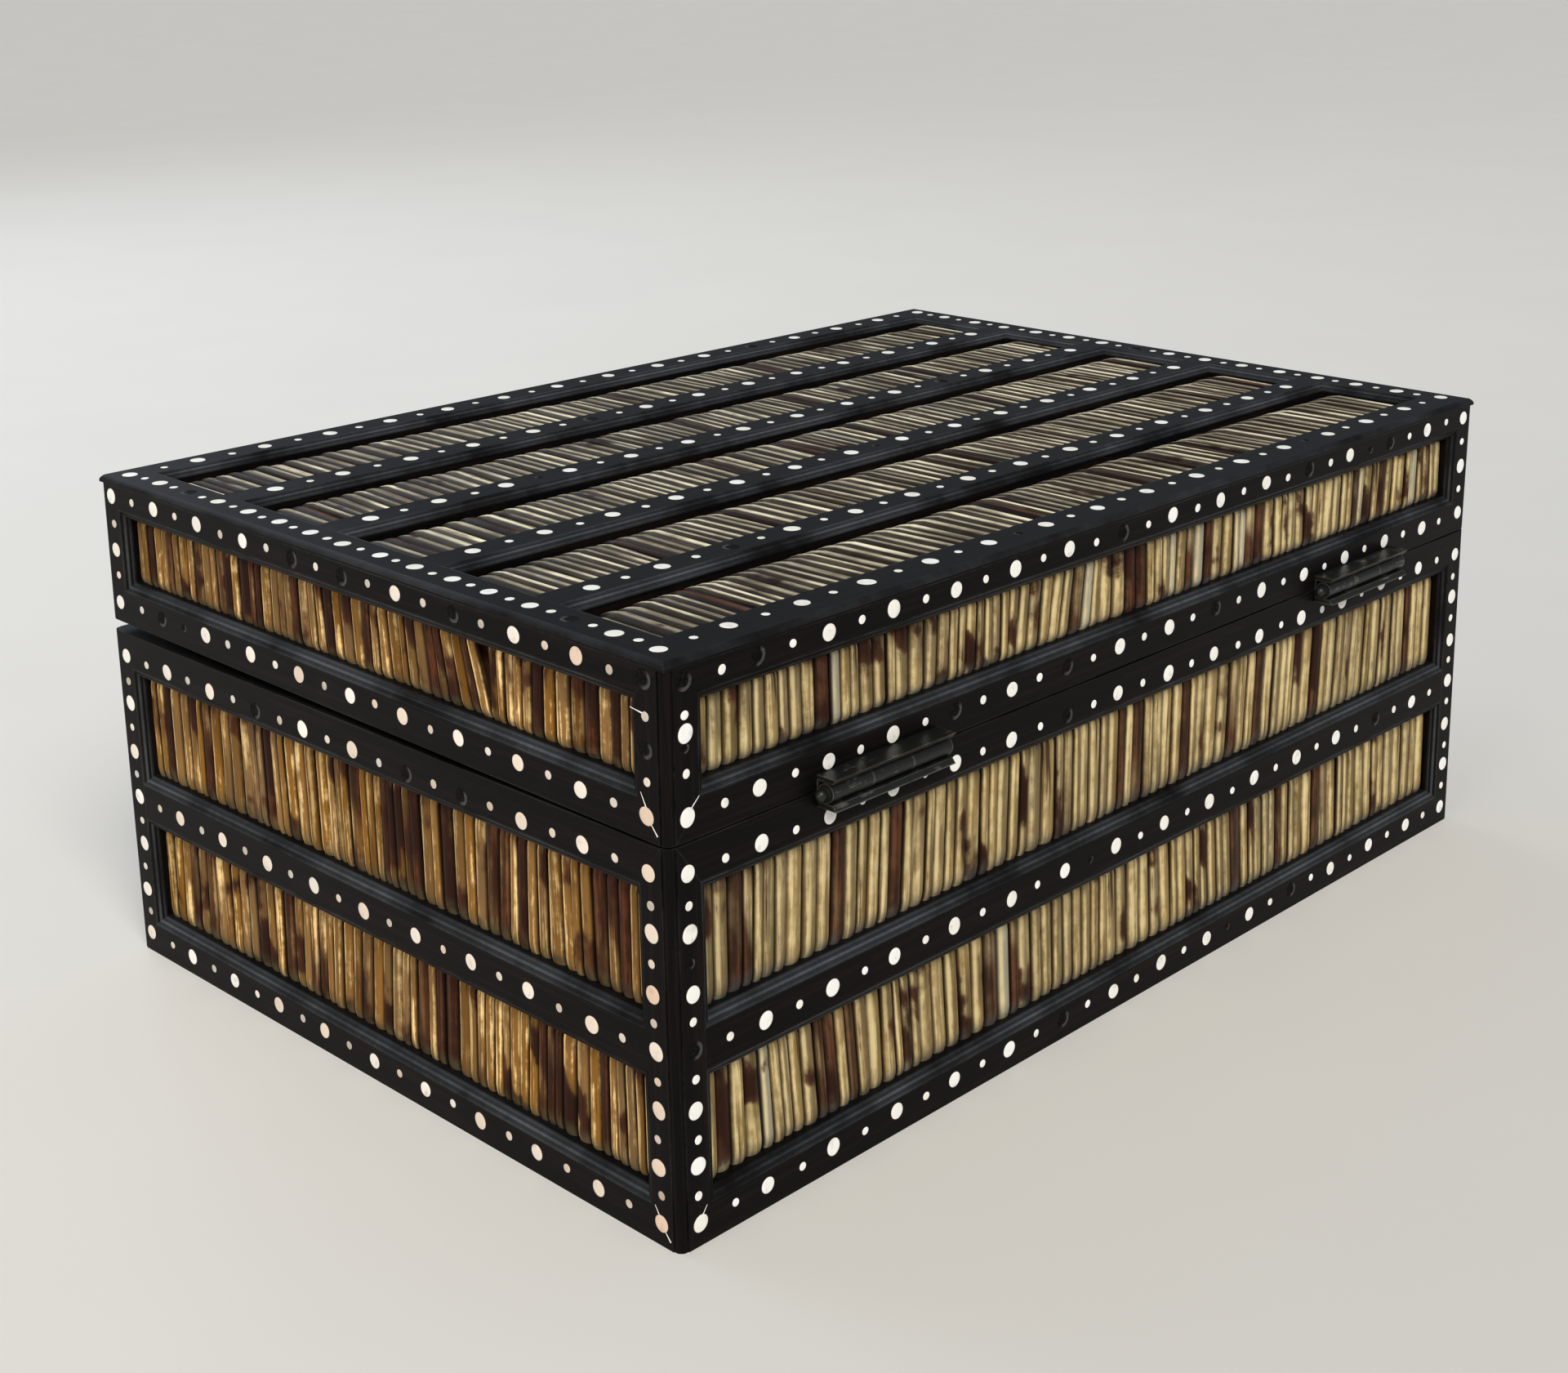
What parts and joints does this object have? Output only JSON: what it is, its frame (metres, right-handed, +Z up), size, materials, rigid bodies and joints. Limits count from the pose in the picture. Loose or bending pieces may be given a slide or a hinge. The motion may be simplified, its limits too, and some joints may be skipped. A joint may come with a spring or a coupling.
{
  "type": "quill-panelled keepsake box",
  "caption": "Keepsake box with rows of porcupine quills in moulded ebony frames dotted with bone, and a lid on two stop hinges",
  "frame": {"origin": "middle of the flat underside that the box stands on", "axes": "+X along the box's length, +Y towards the hinge side, +Z up"},
  "size_m": [0.305, 0.2133, 0.1276],
  "materials": {
    "ebony": "polished, worn",
    "quill": "glossy, banded cream and dark brown",
    "carcass_wood": "oiled",
    "hinge_brass": "aged, nearly black"
  },
  "bodies": {
    "base": {"base_back_board": "carcass_wood", "base_back_bottom_rail": "ebony", "base_back_middle_rail": "ebony", "base_back_quills": "quill", "base_back_top_rail": "ebony", "base_bottom_board": "carcass_wood", "base_corner_beads": "ebony", "base_end_stiles": "ebony", "base_front_board": "carcass_wood", "base_front_bottom_rail": "ebony", "base_front_middle_rail": "ebony", "base_front_quills": "quill", "base_front_top_rail": "ebony", "base_left_board": "carcass_wood", "base_left_bottom_rail": "ebony", "base_left_middle_rail": "ebony", "base_left_quills": "quill", "base_left_top_rail": "ebony", "base_long_stiles": "ebony", "base_right_board": "carcass_wood", "base_right_bottom_rail": "ebony", "base_right_middle_rail": "ebony", "base_right_quills": "quill", "base_right_top_rail": "ebony", "left_hinge_base_leaf": "hinge_brass", "left_hinge_pin": "hinge_brass", "right_hinge_base_leaf": "hinge_brass", "right_hinge_pin": "hinge_brass"},
    "lid": {"left_hinge_lid_leaf": "hinge_brass", "lid_back_board": "carcass_wood", "lid_back_bottom_rail": "ebony", "lid_back_quills": "quill", "lid_back_top_rail": "ebony", "lid_corner_beads": "ebony", "lid_end_stiles": "ebony", "lid_front_board": "carcass_wood", "lid_front_bottom_rail": "ebony", "lid_front_quills": "quill", "lid_front_top_rail": "ebony", "lid_left_board": "carcass_wood", "lid_left_bottom_rail": "ebony", "lid_left_quills": "quill", "lid_left_top_rail": "ebony", "lid_long_stiles": "ebony", "lid_right_board": "carcass_wood", "lid_right_bottom_rail": "ebony", "lid_right_quills": "quill", "lid_right_top_rail": "ebony", "lid_top_back_rail": "ebony", "lid_top_bars": "ebony", "lid_top_board": "carcass_wood", "lid_top_front_rail": "ebony", "lid_top_left_rail": "ebony", "lid_top_quills": "quill", "lid_top_right_rail": "ebony", "right_hinge_lid_leaf": "hinge_brass"}
  },
  "joints": [
    {"name": "lid_hinge", "type": "hinge", "parent": "base", "child": "lid", "pos_m": [0, 0.1064, 0.0875], "axis": [-1, 0, 0], "range_deg": [0, 100]}
  ]
}
